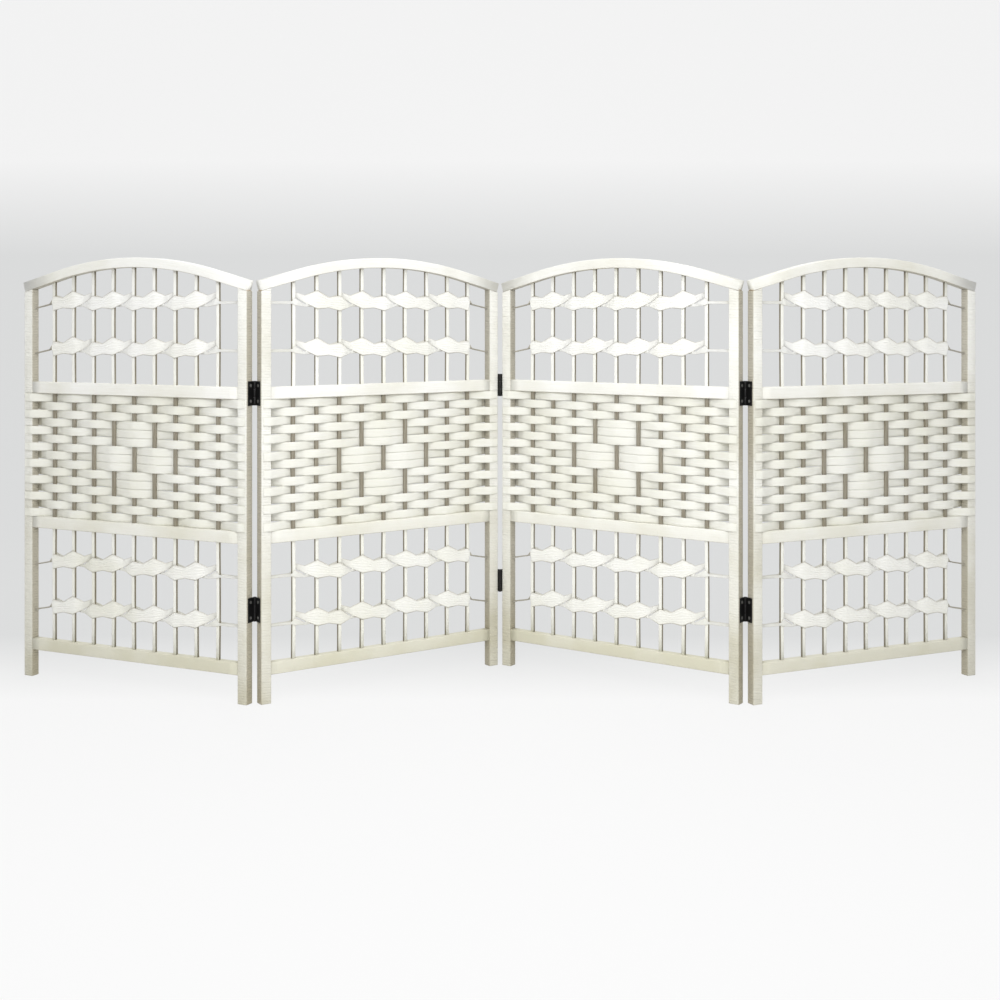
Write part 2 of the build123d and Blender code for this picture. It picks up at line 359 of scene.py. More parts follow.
def shader_group(
    name: str, inputs: dict[str, object], outputs: dict[str, str]
) -> tuple[Nodes, bpy.types.bpy_prop_collection, bpy.types.Node]:
    """Starts a shader group with named sockets.

    Args:
        name: the group's name.
        inputs: default value of each input, by name.
        outputs: socket type of each output, by name.

    Returns:
        The group's nodes, the values given to it and its output node.
    """
    tree = bpy.data.node_groups.new(name, "ShaderNodeTree")
    add_inputs(tree, inputs)
    for label, kind in outputs.items():
        tree.interface.new_socket(label, in_out="OUTPUT", socket_type=kind)
    given = tree.nodes.new("NodeGroupInput").outputs
    return Nodes(tree), given, tree.nodes.new("NodeGroupOutput")


def fibre_group() -> bpy.types.NodeTree:
    """Long fibres of twisted paper or fine grain, drawn out along a piece.

    Returns:
        A group that gives a fibre mask and a height.
    """
    nodes, given, out = shader_group(
        "Long fibres",
        {"Along": 0.0, "Across": 0.0, "Fineness": 900.0, "Length": 0.03},
        {"Mask": "NodeSocketFloat", "Height": "NodeSocketFloat"},
    )
    along = nodes.times(nodes.times(given["Along"], given["Fineness"]), given["Length"])
    place = nodes.vector(along, nodes.times(given["Across"], given["Fineness"]))
    both = nodes.plus(nodes.noise(place, 1.0, 4.0), nodes.noise(place, 2.7, 2.0))
    nodes.fill(out, {"Mask": nodes.ramp(both, 0.75, 1.25), "Height": both})
    return nodes.tree


def ageing_and_shade_group() -> bpy.types.NodeTree:
    """Uneven whiteness: broad warm patches, small specks and painted shade towards the floor.

    Returns:
        A group that gives a colour.
    """
    nodes, given, out = shader_group(
        "Uneven whiteness",
        {
            "Clean": (0.9, 0.9, 0.88, 1.0),
            "Warm": (0.8, 0.78, 0.7, 1.0),
            "Dust": 0.3,
            "Patch Size": 0.12,
        },
        {"Color": "NodeSocketColor"},
    )
    place = nodes.node("ShaderNodeTexCoord").outputs["Object"]
    broad = nodes.noise(place, nodes.math("DIVIDE", 1.0, given["Patch Size"]), 3.0)
    patches = nodes.ramp(broad, 0.42, 0.72)
    specks = nodes.ramp(nodes.noise(place, 420.0, 2.0), 0.55, 0.85)
    # Painted shade: darker and warmer towards the floor.
    floor_shade_mask = nodes.ramp(nodes.parts(place)[2], 0.35, 0.0)
    mask = nodes.plus(nodes.times(patches, 0.45), nodes.times(floor_shade_mask, given["Dust"]))
    mask = nodes.math("MINIMUM", nodes.plus(mask, nodes.times(specks, 0.15)), 1.0)
    nodes.fill(out, {"Color": nodes.mix(mask, given["Clean"], given["Warm"])})
    return nodes.tree


def group(name: str) -> bpy.types.NodeTree:
    """A shared shader group, built the first time that a finish asks for it.

    Args:
        name: the group's name.

    Returns:
        The group's tree.
    """
    if name not in bpy.data.node_groups:
        {"Long fibres": fibre_group, "Uneven whiteness": ageing_and_shade_group}[name]()
    return bpy.data.node_groups[name]


def new_material(name: str) -> tuple[bpy.types.Material, Nodes, bpy.types.Node]:
    """Starts a material.

    Args:
        name: the material's name.

    Returns:
        The material, its nodes and its surface.
    """
    material = bpy.data.materials.new(name)
    material.use_nodes = True
    nodes = Nodes(material.node_tree)
    return material, nodes, nodes.tree.nodes["Principled BSDF"]


@dataclass(frozen=True)
class PaperFinish:
    """Painted paper or paper-faced timber, with fibres that follow the piece."""

    name: str
    clean: Colour
    warm: Colour
    roughness: float
    fineness: float
    fibre_length: float
    fibre_depth: float
    fibre_shade: float = 0.12
    # Strength of the painted shade that darkens the piece towards the floor.
    low_shade: float = 0.3
    pleats: float = 0.0
    edge_shade: float = 0.0
    # Colour that painted shade darkens towards: shaded edges, sides, undersides and hidden turns.
    bare: Colour = (0.33, 0.29, 0.2)

    def build(self) -> bpy.types.Material:
        """Makes the material.

        Returns:
            A material that reads the piece's own UV map.
        """
        material, nodes, surface = new_material(self.name)
        warm, bare = (*self.warm, 1), (*self.bare, 1)
        place = nodes.parts(nodes.first("ShaderNodeUVMap", uv_map="UVMap"))
        fibres = nodes.node("ShaderNodeGroup", node_tree=group("Long fibres"))
        nodes.fill(
            fibres,
            {
                "Along": place[0],
                "Across": place[1],
                "Fineness": self.fineness,
                "Length": self.fibre_length,
            },
        )
        ageing_and_shade = nodes.node("ShaderNodeGroup", node_tree=group("Uneven whiteness"))
        nodes.fill(ageing_and_shade, {"Clean": (*self.clean, 1), "Warm": warm, "Dust": self.low_shade})
        mask, height = fibres.outputs["Mask"], fibres.outputs["Height"]
        colour = nodes.mix(nodes.times(mask, self.fibre_shade), ageing_and_shade.outputs[0], warm)
        if self.pleats:
            folds = nodes.math("SINE", nodes.times(nodes.kept("across"), self.pleats))
            crease = nodes.math("ABSOLUTE", folds)
            height = nodes.plus(height, nodes.times(crease, 1.6))
            # Painted shade in the pleats' valleys.
            crease_shade = nodes.times(nodes.ramp(crease, 0.25, 0.0), 0.35)
            colour = nodes.mix(crease_shade, colour, warm)
        if self.edge_shade:
            edge = nodes.ramp(nodes.math("ABSOLUTE", nodes.kept("across")), 0.8, 1.0)
            colour = nodes.mix(nodes.times(edge, self.edge_shade), colour, bare)
        # Painted shade, read from the value each face stores, thinned a little where fibres run.
        worn = nodes.math("SUBTRACT", 1.0, nodes.times(mask, 0.3))
        colour = nodes.mix(nodes.times(nodes.kept("bare"), worn), colour, bare)
        nodes.fill(
            surface,
            {
                "Base Color": colour,
                "Roughness": nodes.plus(nodes.times(mask, 0.12), self.roughness),
                "Normal": nodes.bump(height, 0.7, self.fibre_depth),
                "Specular IOR Level": 0.3,
            },
        )
        return material


@dataclass(frozen=True)
class TimberFinish:
    """Pale sawn timber, seen at the feet and in the joints."""

    name: str = "sawn timber"
    light: Colour = (0.6, 0.47, 0.3)
    dark: Colour = (0.42, 0.3, 0.17)

    def build(self) -> bpy.types.Material:
        """Makes the material.

        Returns:
            A material with upright grain on Object coordinates.
        """
        material, nodes, surface = new_material(self.name)
        place = nodes.node("ShaderNodeTexCoord").outputs["Object"]
        drawn = nodes.first("ShaderNodeMapping", {"Vector": place, "Scale": (260, 260, 12)})
        grain = nodes.noise(drawn, 1.0, 5.0)
        mask = nodes.ramp(grain, 0.35, 0.7)
        nodes.fill(
            surface,
            {
                "Base Color": nodes.mix(mask, (*self.light, 1), (*self.dark, 1)),
                "Roughness": 0.7,
                "Normal": nodes.bump(grain, 0.5, 0.0003),
            },
        )
        return material


@dataclass(frozen=True)
class SteelFinish:
    """Black painted or bright steel of the hinges and their screws."""

    name: str
    colour: Colour
    worn: Colour
    roughness: float
    metallic: float

    def build(self) -> bpy.types.Material:
        """Makes the material.

        Returns:
            A material with fine mottling and small worn spots.
        """
        material, nodes, surface = new_material(self.name)
        place = nodes.node("ShaderNodeTexCoord").outputs["Object"]
        mottle = nodes.noise(place, 900.0, 3.0)
        spots = nodes.ramp(mottle, 0.6, 0.75)
        nodes.fill(
            surface,
            {
                "Base Color": nodes.mix(spots, (*self.colour, 1), (*self.worn, 1)),
                "Metallic": self.metallic,
                "Roughness": nodes.plus(nodes.times(mottle, 0.2), self.roughness),
                "Normal": nodes.bump(mottle, 0.3, 0.0001),
            },
        )
        return material


@dataclass
class Finishes:
    """The finishes of the screen, each built once."""

    wound: bpy.types.Material = field(init=False)
    faced: bpy.types.Material = field(init=False)
    stick: bpy.types.Material = field(init=False)
    woven: bpy.types.Material = field(init=False)
    ribbon: bpy.types.Material = field(init=False)
    timber: bpy.types.Material = field(init=False)
    steel: bpy.types.Material = field(init=False)
    screw: bpy.types.Material = field(init=False)

    def __post_init__(self) -> None:
        """Builds every finish."""
        white, cream, olive = (0.89, 0.89, 0.85), (0.76, 0.75, 0.62), (0.5, 0.47, 0.34)
        self.wound = PaperFinish(
            "wound paper", white, olive, 0.6, 1500, 0.08, 0.0002, low_shade=0.55, edge_shade=0.25
        ).build()
        self.faced = PaperFinish(
            "paper-faced timber", (0.9, 0.9, 0.87), (0.64, 0.62, 0.49), 0.5, 700, 0.02, 0.0002,
            0.2, low_shade=0.9,
        ).build()
        # The sticks' dark brown is painted shade on their sides, and under the weave partly painted
        # shade and partly the unpainted stick.
        self.stick = PaperFinish(
            "painted sticks", white, cream, 0.6, 900, 0.02, 0.0002, bare=(0.17, 0.14, 0.085)
        ).build()
        self.woven = PaperFinish(
            "woven paper strips", white, cream, 0.62, 1000, 0.025, 0.0006, 0.5, edge_shade=0.2
        ).build()
        self.ribbon = PaperFinish(
            "twined paper ribbons", (0.93, 0.93, 0.91), cream, 0.62, 1100, 0.03, 0.0004,
            pleats=9.0, edge_shade=0.55,
        ).build()
        self.timber = TimberFinish().build()
        self.steel = SteelFinish(
            "black hinge steel", (0.012, 0.012, 0.012), (0.05, 0.05, 0.05), 0.35, 0.6
        ).build()
        self.screw = SteelFinish(
            "screw steel", (0.2, 0.2, 0.19), (0.45, 0.45, 0.43), 0.3, 0.9
        ).build()


# Geometry trees for what repeats or follows a path


class GeometryTree(Nodes):
    """A geometry node tree with named inputs, run on a guide mesh."""

    def __init__(self, name: str, inputs: dict[str, object]) -> None:
        """Makes the tree and its sockets.

        Args:
            name: the tree's name.
            inputs: default value of each input, by name.
        """
        super().__init__(bpy.data.node_groups.new(name, "GeometryNodeTree"))
        sockets, kind = self.tree.interface, "NodeSocketGeometry"
        sockets.new_socket("Geometry", in_out="INPUT", socket_type=kind)
        add_inputs(self.tree, inputs)
        sockets.new_socket("Geometry", in_out="OUTPUT", socket_type=kind)
        self.given = self.tree.nodes.new("NodeGroupInput").outputs
        self.out = self.tree.nodes.new("NodeGroupOutput")

    def made(
        self, kind: str, inputs: dict[str | int, Value] | None = None, **settings: object
    ) -> Socket:
        """Adds a geometry node by its short name and returns its first output."""
        return self.first(f"GeometryNode{kind}", inputs, **settings)

    def attribute(self, name: str) -> Socket:
        """A value that the geometry carries under a name."""
        return self.made("InputNamedAttribute", {"Name": name})

    def stored(self, geometry: Socket, name: str, value: Socket, **settings: str) -> Socket:
        """Stores a value on a geometry under a name."""
        inputs = {"Geometry": geometry, "Name": name, "Value": value}
        return self.made("StoreNamedAttribute", inputs, **settings)

    def moved(self, geometry: Socket, offset: Socket) -> Socket:
        """Moves each point of a geometry."""
        return self.made("SetPosition", {"Geometry": geometry, "Offset": offset})

    def swept_paper(
        self, path: Socket, sides: Value, flatness: Value, half: Socket, caps: bool
    ) -> tuple[Socket, Socket]:
        """Sweeps a thin upright section along a path and stores "along" and "across" on it.

        Args:
            path: the curve that the paper follows.
            sides: number of points round the section.
            flatness: 1 for a lens, and nearer 0 for a flatter band with rounder edges.
            half: half the paper's height.
            caps: whether its ends are closed.

        Returns:
            The paper, and each point's height above the path.
        """
        upright = self.made("SetCurveNormal", {"Curve": path}, mode="Z_UP")
        lengths = self.node("GeometryNodeSplineParameter").outputs["Length"]
        measured = self.stored(upright, "along", lengths)
        ring = self.made("CurvePrimitiveCircle", {"Resolution": sides, "Radius": 1.0})
        spot = self.parts(self.made("InputPosition"))
        lens = self.stored(ring, "across", spot[1])
        bulge = self.math("POWER", self.math("ABSOLUTE", spot[0]), flatness)
        bulge = self.times(self.math("SIGN", spot[0]), bulge)
        bulge = self.times(self.times(bulge, self.given["Thickness"]), 0.5)
        thin = self.made("SetPosition", {"Geometry": lens, "Position": self.vector(bulge)})
        joint = {"Curve": measured, "Profile Curve": thin, "Fill Caps": caps}
        swept = self.made("CurveToMesh", joint)
        rise = self.times(self.attribute("across"), half)
        return self.moved(swept, self.vector(z=rise)), rise

    def close_mapped(self, geometry: Socket, up: Socket) -> None:
        """Ends the tree with a UV map in metres, along the path and upwards."""
        sheet = self.vector(self.attribute("along"), up)
        self.close(self.stored(geometry, "UVMap", sheet, data_type="FLOAT2", domain="CORNER"))

    def close(self, geometry: Socket) -> None:
        """Ends the tree in Realize Instances, smooth faces and Set Material.

        Args:
            geometry: what the tree has made.
        """
        real = self.made("RealizeInstances", {"Geometry": geometry})
        smooth = self.made("SetShadeSmooth", {"Geometry": real})
        inputs = {"Geometry": smooth, "Material": self.given["Material"]}
        self.fill(self.out, {0: self.made("SetMaterial", inputs)})

    def run(self, guide: bpy.types.Mesh, name: str, **values: object) -> bpy.types.Mesh:
        """Runs the tree on a guide mesh.

        Args:
            guide: the mesh that the tree starts from.
            name: name of the mesh that it makes.
            **values: values of the tree's inputs, by name.

        Returns:
            A plain mesh with the result.
        """
        carrier = placed(f"{name} guide", guide)
        modifier = carrier.modifiers.new(self.tree.name, "NODES")
        modifier.node_group = self.tree
        for item in self.tree.interface.items_tree:
            if item.name in values:
                modifier[item.identifier] = values[item.name]
        bpy.context.view_layer.update()
        evaluated = carrier.evaluated_get(bpy.context.evaluated_depsgraph_get())
        mesh = bpy.data.meshes.new_from_object(evaluated)
        mesh.name = name
        bpy.data.objects.remove(carrier)
        bpy.data.meshes.remove(guide)
        return mesh


def band_tree() -> GeometryTree:
    """Tree that sweeps a flat, soft-edged band of changing height along its guides.

    Returns:
        The tree, which reads the guides' half_height.
    """
    sizes = {"Thickness": 0.001, "Flatness": 0.4, "Step": 0.004, "Sides": 10}
    band = GeometryTree(
        "Paper band", {**sizes, "Unevenness": 0.0004, "Seed": 0.0, "Material": None}
    )
    given = band.given
    path = band.made("MeshToCurve", {"Mesh": given["Geometry"]})
    smooth = band.made("CurveSplineType", {"Curve": path}, spline_type="CATMULL_ROM")
    even = band.made("ResampleCurve", {"Curve": smooth, "Length": given["Step"]}, mode="LENGTH")
    half = band.attribute("half_height")
    paper, rise = band.swept_paper(even, given["Sides"], given["Flatness"], half, True)
    places = {0: band.made("InputPosition"), 1: band.vector(given["Seed"])}
    shifted = band.first("ShaderNodeVectorMath", places, operation="ADD")
    centred = band.math("SUBTRACT", band.noise(shifted, 90.0, 2.0), 0.5)
    amount = band.times(centred, given["Unevenness"])
    band.close_mapped(band.moved(paper, band.vector(0.0, amount, amount)), rise)
    return band


def winding_tree() -> GeometryTree:
    """Tree that lays turns of paper round a post, one above the other.

    Returns:
        The tree, which needs no guide geometry.
    """
    post = {"Width": 0.0175, "Depth": 0.016, "Corner": 0.0025}
    paper = {"Turns": 100, "Pitch": 0.0045, "Thickness": 0.001, "Slant": 0.03}
    winding = GeometryTree("Wound turns", {**post, **paper, "Seed": 1, "Material": None})
    given, times = winding.given, winding.times
    wide = winding.math("SUBTRACT", given["Width"], given["Thickness"])
    deep = winding.math("SUBTRACT", given["Depth"], given["Thickness"])
    square = winding.made("CurvePrimitiveQuadrilateral", {"Width": wide, "Height": deep})
    corners = {"Curve": square, "Count": 3, "Radius": given["Corner"]}
    rounded = winding.made("FilletCurve", corners, mode="POLY")
    half = times(given["Pitch"], 0.57)
    turn, _ = winding.swept_paper(rounded, 8, 1.0, half, False)
    start, step = times(given["Pitch"], 0.5), winding.vector(z=given["Pitch"])
    line = {"Count": given["Turns"], "Start Location": winding.vector(z=start), "Offset": step}
    levels = winding.made("MeshLine", line)
    lean = times(given["Slant"], 0.4)
    low = winding.vector(times(lean, -1.0), given["Slant"])
    high = winding.vector(lean, times(given["Slant"], 1.3))
    turned, scaled = (
        winding.first(
            "FunctionNodeRandomValue",
            {0: least, 1: most, "Seed": given["Seed"]},
            data_type="FLOAT_VECTOR",
        )
        for least, most in ((low, high), ((0.992, 0.992, 1.0), (1.0, 1.0, 1.0)))
    )
    turns = {"Points": levels, "Instance": turn, "Rotation": turned, "Scale": scaled}
    real = winding.made("RealizeInstances", {"Geometry": winding.made("InstanceOnPoints", turns)})
    winding.close_mapped(real, winding.parts(winding.made("InputPosition"))[2])
    return winding


def screw_tree() -> GeometryTree:
    """Tree that sets a crossed screw head on each guide point, turned by chance.

    Returns:
        The tree, which starts from a mesh of loose points.
    """
    sizes = {"Radius": 0.0026, "Height": 0.0007, "Facing": (1.0, 0.0, 0.0)}
    screws = GeometryTree("Screw heads", {**sizes, "Seed": 1, "Material": None})
    given, times = screws.given, screws.times
    radius, height = given["Radius"], given["Height"]
    dome = screws.made("MeshUVSphere", {"Segments": 20, "Rings": 10, "Radius": radius})
    flatten = screws.vector(1.0, 1.0, screws.math("DIVIDE", height, radius))
    head = screws.made("Transform", {"Geometry": dome, "Scale": flatten})
    size = screws.vector(times(radius, 1.7), times(radius, 0.3), times(height, 1.6))
    bar = screws.made("MeshCube", {"Size": size})
    raised = screws.vector(z=times(height, 1.2))
    slot = screws.made("Transform", {"Geometry": bar, "Translation": raised})
    crossed = screws.made("Transform", {"Geometry": slot, "Rotation": (0, 0, math.pi / 2)})
    cut = screws.node("GeometryNodeMeshBoolean", {"Mesh 1": head}, operation="DIFFERENCE")
    for cutter in (slot, crossed):
        screws.fill(cut, {"Mesh 2": cutter})
    chance = {3: math.pi, "Seed": given["Seed"]}
    spin = screws.node("FunctionNodeRandomValue", chance, data_type="FLOAT").outputs[1]
    turn = {"Axis": (0, 0, 1), "Angle": spin}
    about = screws.first("FunctionNodeAxisAngleToRotation", turn)
    facing = {"Rotation": about, "Vector": given["Facing"]}
    aimed = screws.first("FunctionNodeAlignRotationToVector", facing, axis="Z")
    heads = {"Points": given["Geometry"], "Instance": cut.outputs[0], "Rotation": aimed}
    screws.close(screws.made("InstanceOnPoints", heads))
    return screws


# Plain mesh work

Path = list[tuple[float, float]]
CORNER_STEPS = 4


def running_lengths(path: Path) -> list[float]:
    """Distance along a path at each of its points.

    Args:
        path: the path's points.

    Returns:
        The distances, from zero.
    """
    lengths = [0.0]
    for before, after in zip(path, path[1:]):
        lengths.append(lengths[-1] + math.dist(before, after))
    return lengths


def tube_faces(rings: int, count: int) -> list[tuple[int, ...]]:
    """Faces of a tube with closed ends.

    Args:
        rings: number of rings of points along it.
        count: number of points in a ring.

    Returns:
        The sides from ring to ring, then the first end and the last.
    """
    faces = []
    for ring in range(rings - 1):
        for step in range(count):
            a, b = ring * count + step, ring * count + (step + 1) % count
            faces.append((a, b, b + count, a + count))
    last = (rings - 1) * count
    return [*faces, tuple(reversed(range(count))), tuple(range(last, last + count))]


def swept_bar(path: Path, width: float, depth: float, edge: float, name: str) -> bpy.types.Mesh:
    """Sweeps a soft-edged bar along a path in the panel's upright plane.

    Args:
        path: places and heights of the bar's middle line.
        width: the bar's size across the path, in the panel's plane.
        depth: the bar's size from front to back.
        edge: radius of its long edges.
        name: name of the mesh.

    Returns:
        A mesh with a UV map that runs along the bar, in metres.
    """
    section = []
    for corner, (side, level) in enumerate(((1, 1), (-1, 1), (-1, -1), (1, -1))):
        middle = (side * (width / 2 - edge), level * (depth / 2 - edge))
        for step in range(CORNER_STEPS + 1):
            angle = (corner + step / CORNER_STEPS) * math.pi / 2
            across = middle[0] + edge * math.cos(angle)
            section.append((across, middle[1] + edge * math.sin(angle)))
    points, maps = [], []
    for index, (u, z) in enumerate(path):
        before = path[max(index - 1, 0)]
        after = path[min(index + 1, len(path) - 1)]
        run = Vector((after[0] - before[0], after[1] - before[1])).normalized()
        for across, back in section:
            points.append((u - run.y * across, back, z + run.x * across))
    lengths, girth = running_lengths(path), running_lengths([*section, section[0]])
    for near, far in zip(lengths, lengths[1:]):
        for start, end in zip(girth, girth[1:]):
            maps += [(near, start), (near, end), (far, end), (far, start)]
    maps += [*reversed(section), *section]
    mesh = bpy.data.meshes.new(name)
    mesh.from_pydata(points, [], tube_faces(len(path), len(section)))
    for corner, place in zip(mesh.uv_layers.new(name="UVMap").data, maps):
        corner.uv = place
    mesh.shade_smooth()
    return face_outwards(mesh)


def face_outwards(mesh: bpy.types.Mesh) -> bpy.types.Mesh:
    """Turns every face of a closed mesh outwards.

    Args:
        mesh: the mesh, which is changed.

    Returns:
        The same mesh.
    """
    work = bmesh.new()
    work.from_mesh(mesh)
    bmesh.ops.recalc_face_normals(work, faces=work.faces)
    work.to_mesh(mesh)
    work.free()
    return mesh


def joined(meshes: list[bpy.types.Mesh], name: str) -> bpy.types.Mesh:
    """Joins meshes into one that keeps their maps and materials.

    Args:
        meshes: the meshes, which are used up.
        name: name of the new mesh.

    Returns:
        The new mesh, or the only one as it is.
    """
    if len(meshes) == 1:
        return meshes[0]
    objects = [placed(mesh.name, mesh) for mesh in meshes]
    with bpy.context.temp_override(
        active_object=objects[0],
        selected_objects=objects,
        selected_editable_objects=objects,
        object=objects[0],
    ):
        bpy.ops.object.join()
    result = objects[0].data
    result.name = name
    bpy.data.objects.remove(objects[0])
    return result


def between(value: float, low: float, high: float) -> float:
    """The value, held between a lowest and a highest one."""
    return max(low, min(high, value))


def side_face(normal: Vector) -> float:
    """How much a face looks along its panel, from 0 for a front face to 1 for an end face."""
    return between((abs(normal.x) - 0.5) / 0.4, 0.0, 1.0)


@dataclass
class Assembly:
    """Part of a panel. Its pieces are placed by the panel's frame and ride on its body."""

    panel: PanelFrame
    finishes: Finishes

    def piece(
        self,
        mesh: bpy.types.Mesh,
        name: str,
        material: bpy.types.Material,
        slot: Slot,
        nodes: tuple[str, ...] = (),
        bare: Callable[[Vector, Vector], float] | None = None,
    ) -> bpy.types.Object:
        """Args:
            mesh: the mesh, in the panel's own frame.
            name: name of the piece, without its panel.
            material: its finish.
            slot: the record's slot that the finish belongs to; not used.
            nodes: the frame's nodes that it stands for, without their panel.
            bare: how much painted shade a face gets, from its middle and its normal.

        Returns:
            The finished object, at the origin.
        """
        if bare:
            shade_attribute = mesh.attributes.new("bare", "FLOAT", "FACE")
            values = [bare(face.center, face.normal) for face in mesh.polygons]
            shade_attribute.data.foreach_set("value", values)
        mesh.transform(self.panel.matrix)
        mesh.materials.clear()
        mesh.materials.append(material)
        mesh.polygons.foreach_set("material_index", [0] * len(mesh.polygons))
        made = placed(f"{self.panel.body}_{name}", mesh)
        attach(made, self.panel.body)
        if nodes:
            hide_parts(*(f"{self.panel.body}_{node}" for node in nodes))
        LOG.info("%s: %d faces", made.name, len(mesh.polygons))
        return made

    def mirrored(self, place: float) -> float:
        """A place along the panel, counted from the other end on a mirrored panel."""
        return SIZES.panel_width - place if self.panel.mirrored else place


@dataclass
class WoundPosts(Assembly):
    """The two posts of a panel, closely wound with paper."""

    tree: GeometryTree
    pitch: float = 0.0042
    corner: float = 0.0009
    thickness: float = 0.001
    slant: float = 0.05
    side_shade: float = 0.75

    def build(self) -> None:
        """Winds both posts and cuts the winding to the arch's slope."""
        wide, deep = SIZES.post_width / 2, SIZES.post_depth / 2
        for side, middle in (("left", wide), ("right", SIZES.panel_width - wide)):
            top = max(SIZES.arch_underside(middle - wide), SIZES.arch_underside(middle + wide))
            turns = round(top / self.pitch)
            mesh = self.tree.run(
                bpy.data.meshes.new("post"),
                f"{side} winding",
                Turns=turns,
                Pitch=top / turns,
                Width=SIZES.post_width,
                Depth=SIZES.post_depth,
                Corner=self.corner,
                Thickness=self.thickness,
                Slant=self.slant,
                Seed=self.panel.number * 2 + (side == "right"),
                Material=self.finishes.wound,
            )
            for vertex in mesh.vertices:
                spot = vertex.co
                spot.x = middle + between(spot.x, -wide, wide)
                spot.y = between(spot.y, -deep, deep)
                spot.z = between(spot.z, 0.0, SIZES.arch_underside(spot.x))
            name, nodes = f"{side}_post_winding", (f"{side}_post_wrap",)
            finish = self.finishes.wound
            self.piece(mesh, name, finish, Slot.WOUND_PAPER, nodes, self.painted_side_shade)

    def painted_side_shade(self, _middle: Vector, normal: Vector) -> float:
        """Painted shade on a post's face: its sides are painted darker."""
        return side_face(normal) * self.side_shade


@dataclass
class Rails(Assembly):
    """The bottom rail, the two crossrails and the arched top rail."""

    edge: float = 0.0016
    arch_steps: int = 48
    straight_steps: int = 24
    underside_shade: float = 0.7

    def build(self) -> None:
        """Makes the four rails."""
        first, steps = SIZES.post_width, self.straight_steps
        step = (SIZES.panel_width - 2 * SIZES.post_width) / steps
        rails = []
        for name, level in (
            ("bottom_rail", SIZES.foot_height),
            ("lower_crossrail", SIZES.lower_crossrail_level),
            ("upper_crossrail", SIZES.upper_crossrail_level),
        ):
            middle = level + SIZES.rail_height / 2
            path = [(first + step * index, middle) for index in range(steps + 1)]
            rails.append((name, path, SIZES.rail_height, SIZES.rail_depth))
        rails.append(("arch_rail", self.arch_path(), SIZES.arch_height, SIZES.post_depth))
        for name, path, height, depth in rails:
            mesh = swept_bar(path, height, depth, self.edge, name)
            finish, bare = self.finishes.faced, self.painted_underside_shade
            self.piece(mesh, f"{name}_face", finish, Slot.FACED_TIMBER, (name,), bare)

    def painted_underside_shade(self, _middle: Vector, normal: Vector) -> float:
        """Painted shade on a rail's face: its underside is painted darker."""
        return self.underside_shade * between((-normal.z - 0.4) / 0.4, 0.0, 1.0)

    def arch_path(self) -> Path:
        """Middle line of the arch, from one square-cut end to the other.

        Returns:
            Places and heights along the arch.
        """
        slope, half = SIZES.shoulder_slope, SIZES.panel_width / 2
        outer = SIZES.crown_radius + SIZES.arch_height / 2
        shoulder = (half + SIZES.arch_overhang - outer * math.sin(slope)) / math.cos(slope)
        path = []
        for index in range(self.arch_steps + 1):
            angle = -slope + 2 * slope * index / self.arch_steps
            across = SIZES.crown_radius * math.sin(angle)
            path.append((half + across, SIZES.crown_level + SIZES.crown_radius * math.cos(angle)))
        run = Vector((math.cos(slope), math.sin(slope)))
        start = (path[0][0] - shoulder * run.x, path[0][1] - shoulder * run.y)
        end = (path[-1][0] + shoulder * run.x, path[-1][1] - shoulder * run.y)
        return [start, *path, end]


@dataclass
class Sticks(Assembly):
    """Nine painted sticks from the bottom rail to the arch."""

    edge: float = 0.0009
    sway: float = 0.0007
    sway_steps: int = 4

    def build(self) -> None:
        """Makes the sticks, a little uneven as split sticks are."""
        chance = random.Random(self.panel.number)
        base = SIZES.foot_height + SIZES.rail_height
        levels = [SIZES.lower_crossrail_level, SIZES.weave_level]
        levels += [SIZES.upper_crossrail_level, SIZES.upper_crossrail_top]
        meshes = []
        for place in SIZES.stick_places:
            top = SIZES.arch_underside(place + SIZES.stick_width / 2)
            top = max(top, SIZES.arch_underside(place - SIZES.stick_width / 2))
            fixed = [base, *levels, top]
            path = []
            for low, high in zip(fixed, fixed[1:]):
                bend = chance.uniform(-self.sway, self.sway)
                for step in range(self.sway_steps):
                    share = step / self.sway_steps
                    shift = bend * math.sin(math.pi * share)
                    path.append((place + shift, low + (high - low) * share))
            path.append((place, top))
            meshes.append(
                swept_bar(path, SIZES.stick_width, SIZES.stick_depth, self.edge, "stick")
            )
        mesh = joined(meshes, "sticks")
        for vertex in mesh.vertices:
            vertex.co.z = min(vertex.co.z, SIZES.arch_underside(vertex.co.x))
        finish, nodes = self.finishes.stick, ("sticks",)
        self.piece(mesh, "painted_sticks", finish, Slot.STICK_TIMBER, nodes, self.stick_shade_and_bare)

    def stick_shade_and_bare(self, middle: Vector, normal: Vector) -> float:
        """Painted shade on a stick's face: its sides are painted darker, and all that the weave
        covers gets a dark brown that is partly painted shade and partly the unpainted stick.
        """
        covered = SIZES.weave_level < middle.z < SIZES.upper_crossrail_level
        return 1.0 if covered else side_face(normal)


Run = list[tuple[float, float, float, float]]


def guide_mesh(runs: list[Run], name: str) -> bpy.types.Mesh:
    """A mesh of open edge paths that carries each point's half height.

    Args:
        runs: for each path, its points as place, depth, level and half height.
        name: name of the mesh.

    Returns:
        The guide mesh.
    """
    points, edges, halves = [], [], []
    for run in runs:
        start = len(points)
        points += [(place, depth, level) for place, depth, level, half in run]
        halves += [half for place, depth, level, half in run]
        edges += [(start + index, start + index + 1) for index in range(len(run) - 1)]
    mesh = bpy.data.meshes.new(name)
    mesh.from_pydata(points, edges, [])
    attribute = mesh.attributes.new("half_height", "FLOAT", "POINT")
    attribute.data.foreach_set("value", halves)
    return mesh


